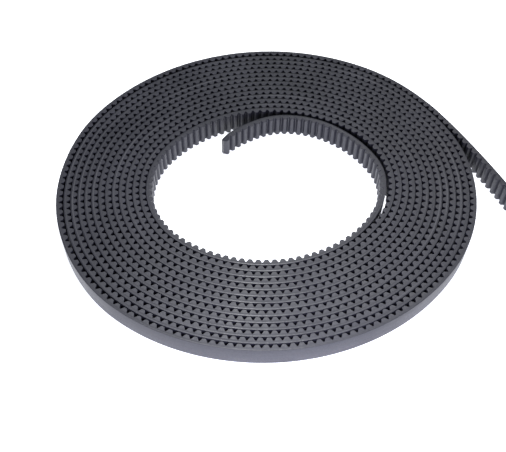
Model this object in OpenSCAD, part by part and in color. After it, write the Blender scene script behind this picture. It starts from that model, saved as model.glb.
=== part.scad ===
// Open-ended curvilinear-tooth timing belt, wound flat into an oval coil of
// fourteen turns that stands on the edge of the belt.  The outer end leaves
// the coil as a straight tail and the inner end curls into the eye.
// The belt follows its back line, the outer face of the backing, through a
// chain of tangent arcs.  Depths are measured from the back line to the teeth,
// and lengths along the centre line of the cords, which keeps its length.

/* [Belt section] */
// distance from tooth to tooth along the cords (mm)
pitch = 2; // [2:0.5:5]
// width of the belt, its height when it stands on edge (mm)
belt_w = 6; // [4:0.5:15]
// back face to the land between two teeth (mm)
back_t = 0.8; // [0.7:0.05:1.5]
// height of a tooth above the land (mm)
tooth_h = 0.82; // [0.5:0.01:1.5]
// width of a tooth at its root (mm)
tooth_root_w = 1.7; // [1:0.02:1.8]
// width of a tooth at its tip (mm)
tooth_tip_w = 0.84; // [0.4:0.02:1.2]
// land to the centre line of the cords (mm)
cord_depth = 0.254; // [0.2:0.002:0.4]
// thickness of the rubber ply that holds the cords (mm)
ply_t = 0.3; // [0.26:0.01:0.4]
// diameter of one tensile cord (mm)
cord_d = 0.22; // [0.16:0.01:0.3]

/* [Coil] */
// half of the coil's long way across (mm)
coil_a = 54.4; // [40:0.1:80]
// half of the coil's short way across (mm)
coil_b = 48.6; // [36:0.1:76]
// how far the oval is turned about Z (degrees)
coil_turn = 9; // [0:1:30]
// spacing of neighbouring turns, back to back (mm)
lay = 1.68; // [1.6:0.01:2.5]
// extra room under the outermost turn (mm)
loose_outer = 0.3; // [0.2:0.05:0.6]

/* [Free ends] */
// length of one link of the outer tail, a whole number of teeth (mm)
tail_link = 10; // [4:2:16]
// radius of the nearly straight tail (mm)
tail_r = 280; // [120:10:600]
// clearance left at each flexing line (mm)
flex_gap = 0.12; // [0.06:0.01:0.2]
// height of the corner snipped off the inner tip (mm)
snip_h = 0.8; // [0.4:0.1:4]
// length of the corner snipped off the inner tip (mm)
snip_l = 2.2; // [1:0.1:4]

/* [Hidden] */
N_CORDS = 9;
TAIL_LINKS = 4;
TIP_LINKS = 3;
SEAM = 0.01;
cord_step = belt_w / (N_CORDS + 1);
cl_d = back_t - cord_depth;
ply_0 = cl_d - ply_t / 2;
ply_1 = cl_d + ply_t / 2;
strip_0 = ply_1 + SEAM;
full_t = back_t + tooth_h;
// middle of the whole outline, moved to the origin
mid = [6.114, 0.841];

function dir(a) = [cos(a), sin(a)];
function deg(len, r) = len / (r - cl_d) * 180 / PI;
function span(a) = (a[3] - a[2]) * PI / 180 * (a[1] - cl_d);
function span_to(arcs, n) = n <= 0 ? 0 : span(arcs[n - 1]) + span_to(arcs, n - 1);

// the oval: its ends and sides are quarter turns about four centres
off = (coil_a - coil_b) / (2 - sqrt(2));
r_end = coil_a - off;
r_side = r_end + off * sqrt(2);
FIRST = 54;
LAST = 4965;
function corner(k) = coil_turn + 45 + 90 * k;
// arc = [centre, radius, from, to]; every quarter turn is a little smaller
function spiral(k, c, r) =
    let (a0 = corner(k - 1), a1 = min(corner(k), LAST))
    a0 >= LAST ? [] :
    let (d = (k <= 4 ? lay + loose_outer : lay) / 4,
         rn = r - d + (k % 2 == 1 ? r_side - r_end : r_end - r_side),
         cn = c + (r - rn) * dir(a0))
    concat([[cn, rn, k == 1 ? FIRST : a0, a1]], spiral(k + 1, cn, rn));
// arcs that carry on from the last one, [radius, turn]
function onward(last, v, i = 0) = i >= len(v) ? [] :
    let (n = [last[0] + (last[1] - v[i][0]) * dir(last[3]), v[i][0], last[3], last[3] + v[i][1]])
    concat([n], onward(n, v, i + 1));
// arcs that lead up to the first one, [radius, turn]
function upstream(first, v, i = 0) = i >= len(v) ? [] :
    let (n = [first[0] + (first[1] - v[i][0]) * dir(first[2]), v[i][0], first[2] - v[i][1], first[2]])
    concat(upstream(n, v, i + 1), [n]);

MAIN = spiral(1, off * dir(coil_turn), r_end);
// the last stretch that is still held by the coil, before the tail peels away
HEEL = upstream(MAIN[0], [[41, 22], [tail_r, deg(0.7, tail_r)]]);
TAIL = upstream(HEEL[0], [for (i = [1 : TAIL_LINKS]) [tail_r, deg(tail_link, tail_r)]]);
// the innermost stretch stands a little clear of the turn around it
INNER = onward(MAIN[len(MAIN) - 1], [[35.5, 20], [29, 25], [23, 30], [15, 30]]);
before = span_to(MAIN, len(MAIN)) + span_to(HEEL, len(HEEL)) + span_to(INNER, 4);
bridge = pitch * ceil((before + 15) / pitch) - before;
BRIDGE = onward(INNER[3], [[30, deg(bridge, 30)]]);
TIP = onward(BRIDGE[0], [[24.5, deg(6 * pitch, 24.5)], [18, deg(4 * pitch, 18)], [34, deg(6 * pitch, 34)]]);
COIL = concat(HEEL, MAIN, INNER, BRIDGE);

// a band of the section between depths d0 and d1, with or without cord bores
module band(a, d0, d1, g0 = 0, g1 = 0, bored = false) {
    e0 = g0 / a[1] * 180 / PI;
    e1 = g1 / a[1] * 180 / PI;
    translate([a[0][0], a[0][1], 0]) rotate([0, 0, a[2] + e0])
        rotate_extrude(angle = a[3] - a[2] - e0 - e1, $fn = 90)
            if (bored) difference() {
                translate([a[1] - d1, 0]) square([d1 - d0, belt_w]);
                bores(a);
            } else translate([a[1] - d1, 0]) square([d1 - d0, belt_w]);
}
module bores(a) {
    for (i = [1 : N_CORDS]) translate([a[1] - cl_d, i * cord_step]) circle(d = cord_d, $fn = 24);
}
module cords(a, g0, g1) {
    e0 = g0 / a[1] * 180 / PI;
    e1 = g1 / a[1] * 180 / PI;
    translate([a[0][0], a[0][1], 0]) rotate([0, 0, a[2] + e0])
        rotate_extrude(angle = a[3] - a[2] - e0 - e1, $fn = 90) bores(a);
}
// teeth n0 to n1 of the belt, counted from the start of the chain, on arc a
// which starts at length s; the strip is cut square at both ends
function on_arc(a, s, x, d) = a[0] + (a[1] - d) * dir(a[2] + (x - s) / (a[1] - cl_d) * 180 / PI);
module strip(a, s, n0, n1, g0 = SEAM, g1 = SEAM) {
    x0 = n0 * pitch + g0;
    x1 = (n1 + 1) * pitch - g1;
    teeth = [for (n = [n0 : n1]) for (e = [[-tooth_root_w / 2, back_t], [-tooth_tip_w / 2, full_t],
                                         [tooth_tip_w / 2, full_t], [tooth_root_w / 2, back_t]])
        on_arc(a, s, (n + 0.5) * pitch + e[0], e[1])];
    spine = [for (n = [n1 : -1 : n0]) on_arc(a, s, (n + 0.5) * pitch, strip_0)];
    linear_extrude(belt_w) polygon(concat(
        [on_arc(a, s, x0, strip_0), on_arc(a, s, x0, back_t)], teeth,
        [on_arc(a, s, x1, back_t), on_arc(a, s, x1, strip_0)], spine));
}
module strips(i0, i1) {
    for (i = [i0 : i1]) {
        s0 = span_to(COIL, i);
        s1 = s0 + span(COIL[i]);
        n0 = i == 0 ? 0 : ceil(s0 / pitch - 0.5);
        n1 = i == len(COIL) - 1 ? round(s1 / pitch) - 1 : ceil(s1 / pitch - 0.5) - 1;
        strip(COIL[i], s0, n0, n1, i == 0 ? flex_gap / 2 : SEAM, i == len(COIL) - 1 ? flex_gap / 2 : SEAM);
    }
}
module snipped(last) {
    a = TIP[TIP_LINKS - 1];
    if (last) difference() {
        children();
        translate([a[0][0], a[0][1], 0]) rotate([0, 0, a[3]]) translate([a[1], 0, belt_w])
            rotate([0, 90, 0]) linear_extrude(8, center = true)
                polygon([[0, -snip_l], [-1, -snip_l], [-1, 1], [snip_h, 1], [snip_h, 0]]);
    } else children();
}

rubber = [0.17, 0.17, 0.19];
tooth_rubber = [0.12, 0.12, 0.14];
ply_rubber = [0.26, 0.25, 0.28];
glass_cord = [0.85, 0.84, 0.8];
HALF = 24;
NEND = len(COIL) - 1;
half_gap = flex_gap / 2;

// the coil's bands in stretches of an eighth of a turn, with hairline seams
module coil_bands(d0, d1) {
    for (i = [0 : NEND]) {
        a = COIL[i];
        parts = ceil((a[3] - a[2]) / 46);
        step = (a[3] - a[2]) / parts;
        for (j = [0 : parts - 1])
            band([a[0], a[1], a[2] + j * step, a[2] + (j + 1) * step], d0, d1,
                i == 0 && j == 0 ? half_gap : SEAM / 2, i == NEND && j == parts - 1 ? half_gap : SEAM / 2);
    }
}
module coil_backing() { color(rubber) coil_bands(0, ply_0); }
module coil_cord_ply() { color(ply_rubber) coil_bands(ply_0, ply_1); }
module coil_teeth_outer() { color(tooth_rubber) strips(0, HALF); }
module coil_teeth_inner() { color(tooth_rubber) strips(HALF + 1, NEND); }

// a link of a free end: k counts outwards along the tail, inwards along the tip
module link(arcs, i, what, free0, free1) {
    a = arcs[i];
    g0 = free0 ? 0 : half_gap;
    g1 = free1 ? 0 : half_gap;
    teeth_n = round(span(a) / pitch);
    if (what == "backing") color(rubber) band(a, 0, ply_0, g0, g1);
    if (what == "ply") color(ply_rubber) band(a, ply_0, ply_1, g0, g1, true);
    if (what == "cords") color(glass_cord) cords(a, g0, g1);
    if (what == "teeth") color(tooth_rubber) strip(a, 0, 0, teeth_n - 1, g0, g1);
}
module tail(k, what) { link(TAIL, TAIL_LINKS - k, what, k == TAIL_LINKS, false); }
module tip(k, what) { snipped(k == TIP_LINKS) link(TIP, k - 1, what, false, k == TIP_LINKS); }

module place() { translate([-mid[0], -mid[1], 0]) children(); }

place() coil_backing();
place() coil_cord_ply();
place() coil_teeth_outer();
place() coil_teeth_inner();
place() tail(1, "backing");  // tail_1_backing
place() tail(1, "ply");  // tail_1_ply
place() tail(1, "cords");  // tail_1_cords
place() tail(1, "teeth");  // tail_1_teeth
place() tail(2, "backing");  // tail_2_backing
place() tail(2, "ply");  // tail_2_ply
place() tail(2, "cords");  // tail_2_cords
place() tail(2, "teeth");  // tail_2_teeth
place() tail(3, "backing");  // tail_3_backing
place() tail(3, "ply");  // tail_3_ply
place() tail(3, "cords");  // tail_3_cords
place() tail(3, "teeth");  // tail_3_teeth
place() tail(4, "backing");  // tail_4_backing
place() tail(4, "ply");  // tail_4_ply
place() tail(4, "cords");  // tail_4_cords
place() tail(4, "teeth");  // tail_4_teeth
place() tip(1, "backing");  // tip_1_backing
place() tip(1, "ply");  // tip_1_ply
place() tip(1, "cords");  // tip_1_cords
place() tip(1, "teeth");  // tip_1_teeth
place() tip(2, "backing");  // tip_2_backing
place() tip(2, "ply");  // tip_2_ply
place() tip(2, "cords");  // tip_2_cords
place() tip(2, "teeth");  // tip_2_teeth
place() tip(3, "backing");  // tip_3_backing
place() tip(3, "ply");  // tip_3_ply
place() tip(3, "cords");  // tip_3_cords
place() tip(3, "teeth");  // tip_3_teeth
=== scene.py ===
import math

import bpy
import numpy as np
from mathutils import Matrix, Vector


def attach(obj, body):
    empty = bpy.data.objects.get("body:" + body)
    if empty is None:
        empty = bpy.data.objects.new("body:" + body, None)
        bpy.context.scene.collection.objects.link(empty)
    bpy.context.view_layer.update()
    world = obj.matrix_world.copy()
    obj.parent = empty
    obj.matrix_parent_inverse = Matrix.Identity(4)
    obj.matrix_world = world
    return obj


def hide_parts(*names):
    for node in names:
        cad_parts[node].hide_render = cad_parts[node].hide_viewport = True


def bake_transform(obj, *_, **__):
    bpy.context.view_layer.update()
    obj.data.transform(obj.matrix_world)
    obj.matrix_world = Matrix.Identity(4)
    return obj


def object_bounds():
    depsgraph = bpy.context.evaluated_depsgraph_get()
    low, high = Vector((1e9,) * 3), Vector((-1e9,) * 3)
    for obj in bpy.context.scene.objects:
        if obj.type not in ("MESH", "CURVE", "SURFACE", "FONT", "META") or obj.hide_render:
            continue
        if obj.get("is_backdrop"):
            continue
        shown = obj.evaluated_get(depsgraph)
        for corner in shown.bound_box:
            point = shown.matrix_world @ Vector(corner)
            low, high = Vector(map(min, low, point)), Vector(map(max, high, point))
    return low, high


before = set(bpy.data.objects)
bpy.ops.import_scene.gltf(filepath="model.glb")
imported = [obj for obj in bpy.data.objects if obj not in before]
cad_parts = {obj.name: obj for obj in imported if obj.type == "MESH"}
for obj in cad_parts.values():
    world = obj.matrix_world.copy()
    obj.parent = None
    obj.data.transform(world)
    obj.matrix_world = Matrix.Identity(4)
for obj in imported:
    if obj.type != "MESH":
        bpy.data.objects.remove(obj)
CAD_LO, CAD_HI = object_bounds()
MM = 0.001

# ---------------------------------------------------------------- belt section
# millimetres; depths run inwards from the back face, lengths along the cords
PITCH, WIDTH, BACK, TOOTH = 2.0, 6.0, 0.8, 0.82
CORD = BACK - 0.254
PLY_A, PLY_B = CORD - 0.15, CORD + 0.15
FULL = BACK + TOOTH
EDGE = 0.045                      # the small round on every cut edge
SNIP_H, SNIP_L = 0.8, 2.2         # corner taken off the inner tip
CORDS, CORD_R = 9, 0.105          # tension cords side by side in the belt's width

# ---------------------------------------------------------------- belt's path
# the back line is a chain of tangent arcs: (centre, radius, from, to), angles in degrees
COIL_A, COIL_B = 54.4, 48.6       # half axes of the first turn
COIL_TURN = 9.0                   # how far the oval is turned from the X axis
LAY, LOOSE = 1.68, 0.3            # from turn to turn, and extra over the first turn
FIRST, LAST = COIL_TURN + 45, 4965.0
LOOSE_ARCS = 4
PEEL_R, PEEL_TURN = 41, 22        # where the tail starts to leave the coil
TAIL_R, TAIL_LINK, TAIL_LINKS = 280.0, 10.0, 4
CURL = ((35.5, 20), (29, 25), (23, 30), (15, 30))   # the innermost turn tightens
BRIDGE, BRIDGE_R = 15, 30         # last stretch before the tip, made up to whole teeth
TIP_LINKS = ((6, 24.5), (4, 18), (6, 34))           # teeth in each link, and its radius
HALF = 24                         # last arc of the outer tooth node


def u(a):
    """Unit vector at an angle in degrees."""
    return np.array([math.cos(math.radians(a)), math.sin(math.radians(a))])


def deg(length, r):
    """Angle that a length of cord spans where the back has radius r."""
    return math.degrees(length / (r - CORD))


def span(arc):
    """Length of cord in an arc."""
    return math.radians(arc[3] - arc[2]) * (arc[1] - CORD)


def spiral():
    """The turns of the coil: arcs of a four-centre oval, each quarter a little tighter."""
    off = (COIL_A - COIL_B) / (2 - math.sqrt(2))
    end, side = COIL_A - off, COIL_A - off + off * math.sqrt(2)
    c, r, k, arcs = off * u(COIL_TURN), end, 1, []
    while FIRST + 90 * (k - 1) < LAST:
        a0 = FIRST + 90 * (k - 1)
        a1 = min(a0 + 90, LAST)
        lay = LAY + (LOOSE if k <= LOOSE_ARCS else 0)
        rn = r - lay / 4 + (side - end if k % 2 else end - side)
        c = c + (r - rn) * u(a0)
        arcs.append((c, rn, a0, a1))
        r, k = rn, k + 1
    return arcs


def onward(arc, r, turn):
    """The arc that carries on inwards from the end of another."""
    return (arc[0] + (arc[1] - r) * u(arc[3]), r, arc[3], arc[3] + turn)


def upstream(arc, r, turn):
    """The arc that leads outwards from the start of another."""
    return (arc[0] + (arc[1] - r) * u(arc[2]), r, arc[2] - turn, arc[2])


coil = spiral()
coil.insert(0, upstream(coil[0], PEEL_R, PEEL_TURN))
coil.insert(0, upstream(coil[0], TAIL_R, deg(0.7, TAIL_R)))
for r, turn in CURL:
    coil.append(onward(coil[-1], r, turn))
held = sum(map(span, coil))
bridge = PITCH * math.ceil((held + BRIDGE) / PITCH) - held
coil.append(onward(coil[-1], BRIDGE_R, deg(bridge, BRIDGE_R)))
tail = [coil[0]]
for _ in range(TAIL_LINKS):
    tail.insert(0, upstream(tail[0], TAIL_R, deg(TAIL_LINK, TAIL_R)))
tail = tail[:-1]
tip = [coil[-1]]
for n, r in TIP_LINKS:
    tip.append(onward(tip[-1], r, deg(n * PITCH, r)))
tip = tip[1:]
CHAIN = tail + coil + tip
C = np.array([a[0] for a in CHAIN])
R = np.array([a[1] for a in CHAIN])
A0 = np.radians([a[2] for a in CHAIN])
S = np.concatenate([[0.0], np.cumsum([span(a) for a in CHAIN])])
S_TIP, S_END = S[TAIL_LINKS + len(coil)], S[-1]
S_HALF = S[TAIL_LINKS + HALF + 1]


# where the wound coil lies off the plain oval: (mm outwards, at angle, half width)
EVEN_OUT = 0.15
OUTER_BUMPS = ((0.15, 136, 25), (-0.25, 170, 14), (0.55, 236, 24), (0.45, 322, 28))
FLAT_BACK = (-0.8, 38, 16)
EYE_FRONT = (-0.36, 250, 85)
TAIL_OUT = 0.42                   # the far end of the tail
CROTCH = (-0.62, 48, 11)          # mm outwards, at length s, half width


def ease(x, a, b):
    """Rises smoothly from 0 at a to 1 at b."""
    x = np.clip((x - a) / (b - a), 0, 1)
    return x * x * (3 - 2 * x)


def lie(s, a):
    """How far out of the plain oval the belt lies, in mm: a wound coil is a little lopsided.

    The bumps fade evenly from the outer turn to the innermost, so no two turns meet.
    """
    a = np.degrees(a)
    inwards = np.clip((a - FIRST) / (LAST - FIRST), 0, 1)
    a = a % 360

    def near(angle, width):
        return np.exp(-(((a - angle + 180) % 360 - 180) / width) ** 2)

    outer = sum((mm * near(at, width) for mm, at, width in OUTER_BUMPS), EVEN_OUT)
    flat_mm, flat_at, flat_width = FLAT_BACK
    flattened = flat_mm * near(flat_at, flat_width) * ease(s, 100, 300)
    eye_mm, eye_at, eye_width = EYE_FRONT
    inner = eye_mm * np.exp(-((a - eye_at) / eye_width) ** 4)
    crotch_mm, crotch_at, crotch_width = CROTCH
    tail_part = TAIL_OUT * (1 - ease(s, 8, 36))
    tail_part += crotch_mm * np.exp(-((s - crotch_at) / crotch_width) ** 2)
    coil_part = (outer + flattened) * (1 - inwards) + inner * inwards
    return coil_part * ease(s, 60, 100) + tail_part


def locate(s, depth, shape=lie):
    """Points of the belt at length s and depth, in mm, before centring.

    With shape None they lie on the plain oval, as the CAD does.
    """
    s = np.asarray(s, float)
    i = np.clip(np.searchsorted(S, s, side="right") - 1, 0, len(CHAIN) - 1)
    a = A0[i] + (s - S[i]) / (R[i] - CORD)
    out = shape(s, a) if shape else 0.0
    return C[i] + (R[i] - depth + out)[:, None] * np.stack([np.cos(a), np.sin(a)], 1)


def direction(s):
    """Outward normal angle at length s, in degrees."""
    i = int(np.clip(np.searchsorted(S, s, side="right") - 1, 0, len(CHAIN) - 1))
    return math.degrees(A0[i] + (s - S[i]) / (R[i] - CORD))


every = np.linspace(0, S_END, 14000)
outline = np.concatenate([locate(every, np.full(len(every), d), None) for d in (0.0, FULL)])
CAD_MIDDLE = np.array([CAD_LO.x + CAD_HI.x, CAD_LO.y + CAD_HI.y]) / 2 / MM
CENTRE = (outline.min(0) + outline.max(0)) / 2 - CAD_MIDDLE
BASE = CAD_LO.z / MM


def point(s, depth=CORD, z=WIDTH / 2):
    """One point of the belt in metres, in the shared frame."""
    p = locate(np.array([s]), np.array([depth]))[0] - CENTRE
    return (p[0] * MM, p[1] * MM, (BASE + z) * MM)


# ---------------------------------------------------------------- mesh code
def mark(me, name, values):
    """Give each vertex a number that the materials can read."""
    layer = me.attributes.new(name, "FLOAT", "POINT")
    layer.data.foreach_set("value", values.astype(np.float32))


def top_of(s):
    """Height of the upper cut edge: the inner tip has its corner snipped."""
    return WIDTH - np.clip(s - (S_END - SNIP_L), 0, None) * SNIP_H / SNIP_L


def sweep(name, s, rows, material):
    """A closed tube along the belt.

    Each row is (depth, z from the floor or None, z below the top or None, shift along it).
    """
    s = np.asarray(s, float)
    n, m = len(s), len(rows)
    co = np.zeros((m, n, 3))
    top = top_of(s)
    for j, (depth, up, down, shift) in enumerate(rows):
        q = s + shift
        co[j, :, :2] = locate(q, np.broadcast_to(depth, (n,)).astype(float)) - CENTRE
        co[j, :, 2] = BASE + (up if up is not None else top - down)
    depth_of = np.array([np.broadcast_to(d, (n,)) for d, *_ in rows], float)
    i = np.arange(n - 1)
    faces = []
    for j in range(m):
        k = (j + 1) % m
        faces.append(np.stack([j * n + i, k * n + i, k * n + i + 1, j * n + i + 1], 1))
    faces = np.concatenate(faces)
    me = bpy.data.meshes.new(name)
    caps = [[j * n for j in range(m)][::-1], [j * n + n - 1 for j in range(m)]]
    me.from_pydata((co.reshape(-1, 3) * MM).tolist(), [], faces.tolist() + caps)
    mark(me, "belt_s", np.tile(s, m))
    mark(me, "belt_d", depth_of.reshape(-1))
    me.polygons.foreach_set("use_smooth", [True] * len(me.polygons))
    me.set_sharp_from_angle(angle=math.radians(38))
    me.update()
    ob = bpy.data.objects.new(name, me)
    bpy.context.scene.collection.objects.link(ob)
    me.materials.append(material)
    return ob


def steps(a, b, step=0.95):
    """Even stations from a to b, at most a step apart."""
    return np.linspace(a, b, max(3, int(math.ceil((b - a) / step)) + 1))


def backing(name, a, b, material):
    e = EDGE
    rows = [(PLY_A, 0.0, None, 0), (PLY_A, None, 0.0, 0)]
    rows += [(e, None, 0.0, 0), (0.3 * e, None, 0.3 * e, 0), (0.0, None, e, 0)]
    rows += [(0.0, e, None, 0), (0.3 * e, 0.3 * e, None, 0), (e, 0.0, None, 0)]
    return sweep(name, steps(a, b), rows, material)


def ply(name, a, b, material):
    # the cord layer is cut a hair below the rubber on either side of it
    cut, hollow = 0.012, 0.03
    rows = [(PLY_B, cut, None, 0), (PLY_B, None, cut, 0), (CORD, None, hollow, 0),
            (PLY_A, None, cut, 0), (PLY_A, cut, None, 0), (CORD, hollow, None, 0)]
    return sweep(name, steps(a, b), rows, material)


def tooth_profile():
    """One tooth as (offset along the belt, height), from land to land.

    It has a short crown, round shoulders, leaning flanks and small root fillets.
    """
    crown, r_tip, lean, r_root = 0.20, 0.36, 62.0, 0.12
    tilt = math.radians(lean)
    yc = TOOTH - r_tip
    shoulder = np.array([crown + r_tip * math.sin(tilt), yc + r_tip * math.cos(tilt)])
    down = np.array([math.cos(tilt), -math.sin(tilt)])
    out = np.array([math.sin(tilt), math.cos(tilt)])
    flank = (shoulder[1] + r_root * out[1] - r_root) / -down[1]
    fillet = shoulder + flank * down + r_root * out
    half = [(0.0, TOOTH)]
    half += [(crown + r_tip * math.sin(a), yc + r_tip * math.cos(a))
             for a in np.radians(np.linspace(0, lean, 6))]
    start, stop = math.atan2(-out[1], -out[0]) % (2 * math.pi), 1.5 * math.pi
    half += [(fillet[0] + r_root * math.cos(a), fillet[1] + r_root * math.sin(a))
             for a in np.linspace(start, stop, 4)]
    left = [(-x, y) for x, y in half[:0:-1]]
    return np.array([(-PITCH / 2, 0.0)] + left + half)


TOOTH_PTS = tooth_profile()


def teeth(name, a, b, material):
    n = int(round((b - a) / PITCH))
    k = len(TOOTH_PTS)
    s = (a + (np.arange(n)[:, None] + 0.5) * PITCH + TOOTH_PTS[None, :, 0]).reshape(-1)
    h = np.tile(TOOTH_PTS[:, 1], n)
    s, h = np.append(s, b), np.append(h, 0.0)
    g = np.gradient(np.stack([s, h], 1), axis=0)
    nrm = np.stack([-g[:, 1], g[:, 0]], 1)
    nrm /= np.linalg.norm(nrm, axis=1)[:, None]
    e = EDGE
    shift, hin = -nrm[:, 0] * e, np.clip(h - nrm[:, 1] * e, -0.06, None)
    shift[0] = shift[-1] = 0.0
    d, din = BACK + h, BACK + hin
    rows = [(PLY_B, 0.0, None, 0), (din, 0.0, None, shift), (d, e, None, 0),
            (d, None, e, 0), (din, None, 0.0, shift), (PLY_B, None, 0.0, 0)]
    return sweep(name, s, rows[::-1], material)


# ---------------------------------------------------------------- materials
def nodes_of(name):
    m = bpy.data.materials.new(name)
    m.use_nodes = True
    t = m.node_tree
    p = next(n for n in t.nodes if n.type == "BSDF_PRINCIPLED")
    return m, t, p


def attr(t, name):
    """Socket that reads a mesh attribute."""
    n = t.nodes.new("ShaderNodeAttribute")
    n.attribute_name = name
    return n.outputs["Fac"]


def noise(t, scale, detail=3.0, rough=0.55, vector=None):
    n = t.nodes.new("ShaderNodeTexNoise")
    n.inputs["Scale"].default_value = scale
    n.inputs["Detail"].default_value = detail
    n.inputs["Roughness"].default_value = rough
    t.links.new(vector if vector is not None else object_point(t), n.inputs["Vector"])
    return n.outputs["Fac"]


def object_point(t):
    return t.nodes.new("ShaderNodeTexCoord").outputs["Object"]


def belt_point(t, along=1.0, across=1.0):
    """(length, height) of the belt as a texture point, stretched along it."""
    v = t.nodes.new("ShaderNodeCombineXYZ")
    z = t.nodes.new("ShaderNodeSeparateXYZ")
    t.links.new(object_point(t), z.inputs[0])
    t.links.new(math_node(t, "MULTIPLY", attr(t, "belt_s"), along * MM), v.inputs[0])
    t.links.new(math_node(t, "MULTIPLY", attr(t, "belt_d"), across * MM), v.inputs[1])
    t.links.new(math_node(t, "MULTIPLY", z.outputs[2], across), v.inputs[2])
    return v.outputs[0]


def math_node(t, op, a, b=0.0, clamp=False):
    n = t.nodes.new("ShaderNodeMath")
    n.operation = op
    n.use_clamp = clamp
    for k, x in enumerate((a, b)):
        if isinstance(x, (int, float)):
            n.inputs[k].default_value = x
        else:
            t.links.new(x, n.inputs[k])
    return n.outputs[0]


def ramp(t, fac, stops):
    n = t.nodes.new("ShaderNodeValToRGB")
    el = n.color_ramp.elements
    while len(el) < len(stops):
        el.new(0.5)
    for e, (pos, col) in zip(el, stops):
        e.position, e.color = pos, (*col, 1.0)
    t.links.new(fac, n.inputs[0])
    return n.outputs[0]


def mix(t, fac, a, b):
    n = t.nodes.new("ShaderNodeMix")
    n.data_type = "RGBA"
    for key, x in ((0, fac), (6, a), (7, b)):
        if isinstance(x, tuple):
            n.inputs[key].default_value = (*x, 1.0)
        elif isinstance(x, (int, float)):
            n.inputs[key].default_value = x
        else:
            t.links.new(x, n.inputs[key])
    return n.outputs[2]


def bump(t, p, height, strength, distance):
    n = t.nodes.new("ShaderNodeBump")
    n.inputs["Strength"].default_value = strength
    n.inputs["Distance"].default_value = distance
    t.links.new(height, n.inputs["Height"])
    t.links.new(n.outputs[0], p.inputs["Normal"])


def rubber(name, dark, light, roughness, grain, streak):
    """Matt black rubber: cloudy tone, faint lines along the belt, fine grain."""
    m, t, p = nodes_of(name)
    cloud = noise(t, 60, 3.0)
    lines = noise(t, 900, 2.0, 0.6, belt_point(t, 0.06, 1.0))
    tone = math_node(t, "ADD", math_node(t, "MULTIPLY", cloud, 1 - streak),
                     math_node(t, "MULTIPLY", lines, streak))
    speck = math_node(t, "SUBTRACT", noise(t, 2600, 2.0, 0.7), 0.5)
    tone = math_node(t, "ADD", tone, math_node(t, "MULTIPLY", speck, 0.5))
    t.links.new(ramp(t, tone, [(0.32, dark), (0.68, light)]), p.inputs["Base Color"])
    p.inputs["Specular IOR Level"].default_value = 0.5
    dull = math_node(t, "ADD", cloud, math_node(t, "MULTIPLY", speck, -0.8))
    rough = ramp(t, dull, [(0.25, (roughness - 0.08,) * 3), (0.75, (roughness + 0.09,) * 3)])
    t.links.new(rough, p.inputs["Roughness"])
    fine = math_node(t, "ADD", noise(t, 6500, 2.0, 0.6), math_node(t, "MULTIPLY", lines, 0.5))
    bump(t, p, fine, grain, 0.00002)
    return m


DARK = (0.022, 0.0225, 0.032)
MAT_BACK = rubber("backing_rubber", DARK, (0.034, 0.0345, 0.048), 0.42, 0.35, 0.5)
MAT_TOOTH = rubber("tooth_rubber", DARK, (0.036, 0.0365, 0.052), 0.44, 0.5, 0.2)


def ply_material():
    """Rubber with pale streaks on the cut edge: partly a thread showing here and there, partly
    painted highlight where the edge catches light.
    """
    m, t, p = nodes_of("cord_ply")
    # painted highlight: the pale streaks along the cut edge stand partly for exposed thread and
    # partly for light caught on the edges
    strand_and_glint = noise(t, 700, 2.0, 0.5, belt_point(t, 0.05, 1.0))
    far = noise(t, 25, 2.0)
    thread_and_glint_mask = math_node(t, "MULTIPLY", math_node(t, "SUBTRACT", strand_and_glint, 0.5),
                     math_node(t, "MULTIPLY", far, 5.0), True)
    thread_and_glint_colour = mix(t, thread_and_glint_mask, (0.026, 0.0265, 0.037), (0.10, 0.10, 0.115))
    t.links.new(thread_and_glint_colour, p.inputs["Base Color"])
    p.inputs["Roughness"].default_value = 0.55
    bump(t, p, noise(t, 5000, 2.0), 0.4, 0.00002)
    return m


def cord_material():
    m, t, p = nodes_of("glass_cord")
    f = noise(t, 9000, 2.0)
    glass = ramp(t, f, [(0.3, (0.38, 0.37, 0.34)), (0.7, (0.62, 0.61, 0.57))])
    t.links.new(glass, p.inputs["Base Color"])
    p.inputs["Roughness"].default_value = 0.6
    bump(t, p, f, 0.5, 0.00003)
    return m


MAT_PLY, MAT_CORD = ply_material(), cord_material()

# ---------------------------------------------------------------- build
COAT = (("backing", backing, MAT_BACK, "backing_rubber"),
        ("cord_ply", ply, MAT_PLY, "ply_rubber"),
        ("teeth", teeth, MAT_TOOTH, "tooth_rubber"))
CAD_OF = {"backing": "backing", "cord_ply": "ply", "teeth": "teeth"}


def lay_stretch(name, a, b, place, cad):
    """Backing, cord ply and teeth of the belt from length a to b."""
    for what, make, material, slot in COAT:
        ob = make(f"{name}_{what}", a, b, material)
        place(ob)
        for body in cad:
            if body != "coil":
                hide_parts(f"{body}_{CAD_OF[what]}")
            elif what == "teeth":
                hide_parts("coil_teeth_outer" if a < S_HALF else "coil_teeth_inner")
            else:
                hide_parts("coil_backing" if what == "backing" else "coil_cord_ply")


BEND = 3.4                        # mm to either side of a hinge
ROOT_END = 46.0                   # where the tail's last stretch meets the coil


def riding(body):
    return lambda ob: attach(ob, body)


def bending(a, b, s):
    """Bakes the piece where it lies at rest; body a, body b and the hinge at length s are not
    used.
    """
    return lambda ob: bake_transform(ob, a, b, point(s - BEND), point(s + BEND))
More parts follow.
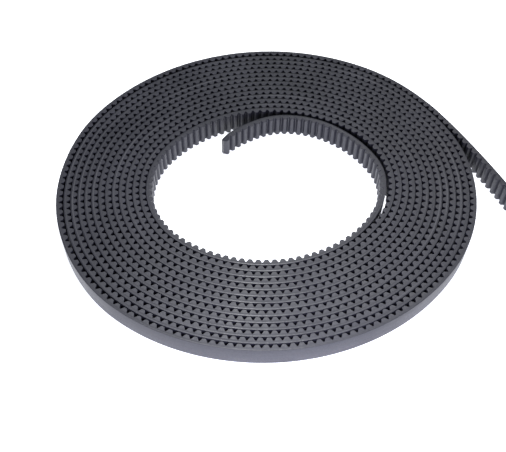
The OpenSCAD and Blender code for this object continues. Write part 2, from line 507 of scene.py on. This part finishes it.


# the free ends, one stretch to a hinge: the last pieces ride their links, the others are baked
# where they lie at rest
lay_stretch("tail_end", 0, 4, riding("tail_4"), ["tail_4"])
lay_stretch("tail_bend_3", 4, 14, bending("tail_4", "tail_3", 10), ["tail_4"])
lay_stretch("tail_bend_2", 14, 24, bending("tail_3", "tail_2", 20), ["tail_3"])
lay_stretch("tail_bend_1", 24, 34, bending("tail_2", "tail_1", 30), ["tail_2"])
lay_stretch("tail_root", 34, ROOT_END, bending("tail_1", "coil", 40), ["tail_1"])
lay_stretch("tip_root", S_TIP - 6, S_TIP + 6, bending("coil", "tip_1", S_TIP), ["tip_1"])
lay_stretch("tip_bend_1", S_TIP + 6, S_TIP + 16, bending("tip_1", "tip_2", S_TIP + 12), ["tip_2"])
lay_stretch("tip_bend_2", S_TIP + 16, S_TIP + 26, bending("tip_2", "tip_3", S_TIP + 20), ["tip_3"])
lay_stretch("tip_end", S_TIP + 26, S_END, riding("tip_3"), ["tip_3"])

# the coil, one stretch to a turn
turns = [ROOT_END]
while True:
    fine = np.linspace(turns[-1], min(turns[-1] + 380, S_TIP - 6), 4000)
    after = fine[np.array([direction(x) for x in fine]) >= direction(turns[-1]) + 360]
    if not len(after) or after[0] > S_TIP - 40:
        turns.append(S_TIP - 6)
        break
    turns.append(round(after[0] / PITCH) * PITCH)
for k in range(len(turns) - 1):
    lay_stretch(f"turn_{k + 1:02d}", turns[k], turns[k + 1], riding("coil"), ["coil"])


def cord_ends(name, s, way, body, low):
    """The cords at a cut end: small pale discs, a hair proud of the rubber, up to height low."""
    sides = 12
    rings = ((CORD_R, -0.25), (CORD_R, 0.02), (0.06, 0.045))     # radius, mm proud of the cut
    verts, faces = [], []
    for k in range(1, CORDS + 1):
        z = k * WIDTH / (CORDS + 1)
        if z > low:
            continue
        base = len(verts)
        for r, out in rings:
            for j in range(sides):
                a = 2 * math.pi * j / sides
                verts.append(point(s + way * out, CORD + r * math.cos(a), z + r * math.sin(a)))
        for ring in range(len(rings) - 1):
            here, onwards = base + ring * sides, base + (ring + 1) * sides
            for j in range(sides):
                k2 = (j + 1) % sides
                q = [here + j, here + k2, onwards + k2, onwards + j]
                faces.append(q if way > 0 else q[::-1])
        cap = [base + (len(rings) - 1) * sides + j for j in range(sides)]
        root = [base + j for j in range(sides)][::-1]
        faces += [cap, root] if way > 0 else [cap[::-1], root[::-1]]
    me = bpy.data.meshes.new(name)
    me.from_pydata(verts, [], faces)
    me.polygons.foreach_set("use_smooth", [True] * len(me.polygons))
    me.set_sharp_from_angle(angle=math.radians(50))
    ob = bpy.data.objects.new(name, me)
    bpy.context.scene.collection.objects.link(ob)
    me.materials.append(MAT_CORD)
    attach(ob, body)
    return ob


ends = cord_ends("tail_cord_ends", 0.0, -1, "tail_4", WIDTH)
for k in range(1, TAIL_LINKS + 1):
    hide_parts(f"tail_{k}_cords")
ends = cord_ends("tip_cord_ends", S_END, 1, "tip_3", WIDTH - SNIP_H - 0.15)
for k in range(1, len(TIP_LINKS) + 1):
    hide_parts(f"tip_{k}_cords")

# ---------------------------------------------------------------- stage
def flat(name, verts, faces, colour, glow):
    """A flat piece of the floor that gives off a little light of its own."""
    me = bpy.data.meshes.new(name)
    me.from_pydata(verts, [], faces)
    ob = bpy.data.objects.new(name, me)
    bpy.context.scene.collection.objects.link(ob)
    m, t, p = nodes_of(name + "_surface")
    p.inputs["Base Color"].default_value = (*colour, 1)
    p.inputs["Roughness"].default_value = 0.9
    p.inputs["Specular IOR Level"].default_value = 0.1
    p.inputs["Emission Color"].default_value = (0.91, 0.93, 1, 1)
    p.inputs["Emission Strength"].default_value = glow
    me.materials.append(m)
    ob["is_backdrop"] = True
    return ob


def gaps(s, curve):
    """Points of a curve that lie straight inwards of the belt's back at length s, mm away."""
    here, inside = (locate(np.array([s]), np.array([d]))[0] for d in (0.0, 1.0))
    inward = inside - here
    rel = curve - here
    along, off = rel @ inward, np.abs(rel @ np.array([-inward[1], inward[0]]))
    return along[off < 0.6]


FLOOR, FLOOR_GLOW = 40.0, 1.08    # half side in metres
z = CAD_LO.z - 0.00002
corners = [(-FLOOR, -FLOOR, z), (FLOOR, -FLOOR, z), (FLOOR, FLOOR, z), (-FLOOR, FLOOR, z)]
flat("floor", corners, [(0, 1, 2, 3)], (0.9, 0.9, 0.9), FLOOR_GLOW)

# A dim strip of floor stands in for the coil's own shadow, which a glowing floor can't show.
# It covers the slits between the turns, the gap behind the tip and the crotch of the tail,
# and it is laid out for the rest pose.
SHADE_DEEP, SHADE_SHALLOW, SHADE_LAP, SHADE_GLOW = 2.2, 0.7, 0.3, 0.04
WHITE = ((S_TIP - 214, S_TIP - 194), (S_TIP - 147, S_TIP - 90))   # lengths with open floor
run = np.arange(25, S_TIP - 1, 0.5)
depth = np.full(len(run), SHADE_DEEP)
tip_back = locate(np.linspace(S_TIP - 60, S_END, 400), np.zeros(400))
for k in np.nonzero(run > S_TIP - 230)[0]:
    across = gaps(run[k], tip_back)
    across = across[(across > 1.0) & (across < 14)]
    depth[k] = across.min() + SHADE_LAP if len(across) else SHADE_SHALLOW
turn_2 = locate(np.linspace(320, 400, 400), np.zeros(400))
for k in np.nonzero(run < ROOT_END)[0]:
    depth[k] = gaps(run[k], turn_2).min() + SHADE_LAP
for lo, hi in WHITE:
    depth[(run > lo) & (run < hi)] = SHADE_SHALLOW
ring = np.stack([locate(run, np.full(len(run), 0.35)), locate(run, depth)], 1)
ring = ring.reshape(-1, 2) - CENTRE
shade = flat("shade", [(x * MM, y * MM, CAD_LO.z - 0.00001) for x, y in ring],
             [(2 * i, 2 * i + 1, 2 * i + 3, 2 * i + 2) for i in range(len(run) - 1)],
             (0.05, 0.05, 0.055), SHADE_GLOW)
# it fades out where it leaves the shelter of the coil
fade = np.clip((depth - 2.4) / 2.0, 0, 1)
mark(shade.data, "fade", np.stack([np.zeros(len(run)), fade], 1).reshape(-1))
t = shade.data.materials[0].node_tree
p = next(n for n in t.nodes if n.type == "BSDF_PRINCIPLED")
glow = math_node(t, "ADD", math_node(t, "MULTIPLY", attr(t, "fade"), 0.45), SHADE_GLOW)
t.links.new(glow, p.inputs["Emission Strength"])

world = bpy.data.worlds.new("studio")
bpy.context.scene.world = world
world.use_nodes = True
sky = world.node_tree.nodes["Background"]
sky.inputs["Color"].default_value = (0.9, 0.94, 1, 1)
sky.inputs["Strength"].default_value = 0.13


def pose_of(x, y, z, at):
    """Matrix of an object with these three axes, standing at a point."""
    return Matrix([(x[k], y[k], z[k], at[k]) for k in range(3)] + [(0, 0, 0, 1)])


def area(name, at, look, size, energy, colour):
    """A round soft light at a point, turned towards another."""
    light = bpy.data.lights.new(name, "AREA")
    light.shape, light.size, light.energy, light.color = "DISK", size, energy, colour
    o = bpy.data.objects.new(name, light)
    o.visible_camera = False
    bpy.context.scene.collection.objects.link(o)
    z = np.array(at, float) - np.array(look, float)
    z /= np.linalg.norm(z)
    x = np.cross((0, 1, 0) if abs(z[1]) < 0.9 else (1, 0, 0), z)
    x /= np.linalg.norm(x)
    o.matrix_world = pose_of(x, np.cross(z, x), z, at)


area("key_overhead", (0.0, 0.094, 0.440), (0, 0, 0), 0.16, 1.62, (0.97, 0.985, 1.0))
area("back_right", (0.145, 0.25, 0.345), (0, 0, 0), 0.16, 0.16, (1.0, 0.96, 0.88))
area("back_rim", (0.0, 0.423, 0.154), (0, 0, 0), 0.16, 0.05, (0.9, 1.0, 0.7))
area("front_near", (0.0, -0.09, 0.05), (0, -0.055, 0), 0.04, 0.052, (0.76, 0.76, 1.0))

# ---------------------------------------------------------------- camera
cam_data = bpy.data.cameras.new("camera")
cam = bpy.data.objects.new("camera", cam_data)
bpy.context.scene.collection.objects.link(cam)
bpy.context.scene.camera = cam
cam_data.sensor_fit, cam_data.sensor_width, cam_data.lens = "HORIZONTAL", 36.0, 57.66
cam_data.clip_start, cam_data.clip_end = 0.01, 100.0
EL, ROLL = math.radians(54.52), math.radians(-1.14)
FROM_OVAL, CAM_HEIGHT = (-3.87, -128.35), 0.1673     # mm from the oval's middle; metres up
right = np.array([1.0, 0.0, 0.0])
up = np.array([0.0, math.sin(EL), math.cos(EL)])
back = np.array([0.0, -math.cos(EL), math.sin(EL)])
side = math.cos(ROLL) * right - math.sin(ROLL) * up
head = math.sin(ROLL) * right + math.cos(ROLL) * up
eye = (np.array(FROM_OVAL) - CENTRE) * MM
cam.matrix_world = pose_of(side, head, back, (eye[0], eye[1], CAD_LO.z + CAM_HEIGHT))

bpy.context.scene.view_settings.view_transform = "Standard"
bpy.context.scene.view_settings.look = "None"

lo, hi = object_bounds()
